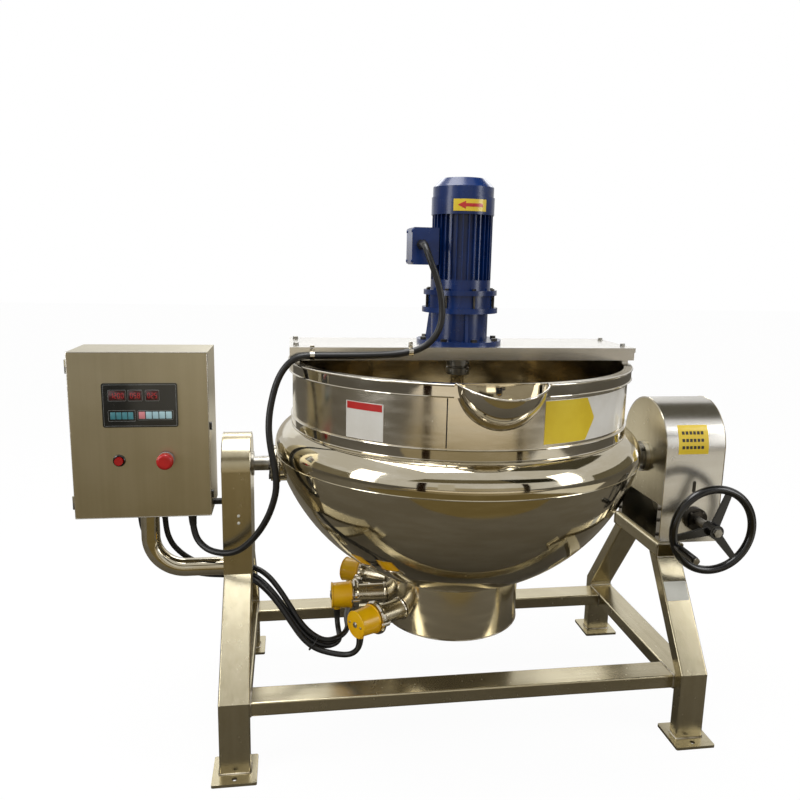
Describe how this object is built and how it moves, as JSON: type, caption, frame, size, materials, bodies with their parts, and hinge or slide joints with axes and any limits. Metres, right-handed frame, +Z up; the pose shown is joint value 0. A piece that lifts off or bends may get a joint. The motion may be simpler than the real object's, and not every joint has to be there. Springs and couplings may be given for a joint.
{
  "type": "steam jacketed kettle",
  "caption": "Tilting jacketed cooking kettle on a tube frame, with stirrer gearmotor on a bridge, worm gear handwheel tilt, heaters and control box",
  "frame": {"origin": "on the floor, on the kettle's own vertical axis, midway between the side frames", "axes": "+Z up, +X along the trunnion axis towards the handwheel tower, -Y towards the operator and the pouring spout"},
  "size_m": [1.92, 1.0936, 1.572],
  "materials": {
    "brushed_stainless": "brushed stainless sheet and tube",
    "polished_stainless": "mirror polished stainless",
    "machined_steel": "machined, lightly oiled",
    "black_plastic": "black moulding",
    "blue_paint": "glossy blue enamel",
    "yellow_plastic": "glossy yellow moulding",
    "black_rubber": "black cable sheath",
    "white_plastic": "white fluoropolymer",
    "dark_panel": "dark membrane panel",
    "grey_plastic": "grey moulded devices",
    "red_plastic": "red moulding"
  },
  "bodies": {
    "frame": {"left_legs": "brushed_stainless", "right_legs": "brushed_stainless", "side_beams": "brushed_stainless", "cross_beams": "brushed_stainless", "tower_rail": "brushed_stainless", "foot_plates": "brushed_stainless", "left_head": "brushed_stainless", "trunnion_bearings": "machined_steel", "gear_cover": "brushed_stainless", "tower_floor": "brushed_stainless", "tower_side_plate": "brushed_stainless", "worm_bearings": "machined_steel", "chain_hook": "brushed_stainless", "box_arm": "brushed_stainless", "stay_bar": "black_plastic", "box_body": "brushed_stainless", "box_glands": "black_plastic", "box_hinges": "brushed_stainless", "switchgear": "grey_plastic", "hanging_cable": "black_rubber", "heater_cables": "black_rubber"},
    "kettle": {"inner_pot": "polished_stainless", "wall_casing": "polished_stainless", "wall_bands": "polished_stainless", "jacket": "polished_stainless", "spout": "polished_stainless", "base_drum": "polished_stainless", "trunnion_pads": "polished_stainless", "left_trunnion": "polished_stainless", "right_trunnion": "polished_stainless", "trunnion_bolts": "machined_steel", "worm_wheel": "machined_steel", "heater_ports": "polished_stainless", "heater_flanges": "polished_stainless", "heater_caps": "yellow_plastic", "heater_elements": "machined_steel", "bridge": "brushed_stainless", "reducer_housing": "blue_paint", "ring_gear_case": "blue_paint", "motor_adapter": "blue_paint", "gearmotor_bolts": "machined_steel", "motor_body": "blue_paint", "fan_cowl": "blue_paint", "terminal_box": "blue_paint", "motor_gland": "black_plastic", "motor_cable": "black_rubber"},
    "stirrer": {"stirrer_shaft": "polished_stainless", "stirrer_anchor": "polished_stainless", "scrapers": "white_plastic"},
    "handwheel": {"handwheel": "black_plastic", "worm_shaft": "machined_steel", "hub_nut": "machined_steel", "grip_pin": "machined_steel"},
    "wheel_grip": {"handwheel_grip": "black_plastic"},
    "door": {"box_door": "brushed_stainless", "controller": "dark_panel", "door_latches": "black_plastic"},
    "power_button": {"power_button": "red_plastic"},
    "emergency_stop": {"emergency_stop": "red_plastic"}
  },
  "joints": [
    {"name": "kettle_tilt", "type": "hinge", "parent": "frame", "child": "kettle", "pos_m": [0, 0, 0.756], "axis": [1, 0, 0], "range_deg": [0, 85], "deforming": ["hanging_cable", "heater_cables"]},
    {"name": "handwheel_turn", "type": "hinge", "parent": "frame", "child": "handwheel", "pos_m": [0.716, 0, 0.596], "axis": [0, -1, 0], "range_deg": [0, 3400]},
    {"name": "grip_spin", "type": "hinge", "parent": "handwheel", "child": "wheel_grip", "pos_m": [0.60136, -0.3, 0.55427], "axis": [0, 1, 0], "continuous": true},
    {"name": "stirrer_spin", "type": "hinge", "parent": "kettle", "child": "stirrer", "pos_m": [0, 0, 1], "axis": [0, 0, 1], "continuous": true},
    {"name": "door_hinge", "type": "hinge", "parent": "frame", "child": "door", "pos_m": [-1.065, -0.106, 0.87], "axis": [0, 0, -1], "range_deg": [0, 110]},
    {"name": "power_press", "type": "slide", "parent": "door", "child": "power_button", "axis": [0, 1, 0], "range_m": [0, 0.004], "stiffness_N_per_m": 400},
    {"name": "stop_press", "type": "slide", "parent": "door", "child": "emergency_stop", "axis": [0, 1, 0], "range_m": [0, 0.006]}
  ],
  "couplings": [
    {"joint": "handwheel_turn", "follows": "kettle_tilt", "ratio": 40}
  ]
}
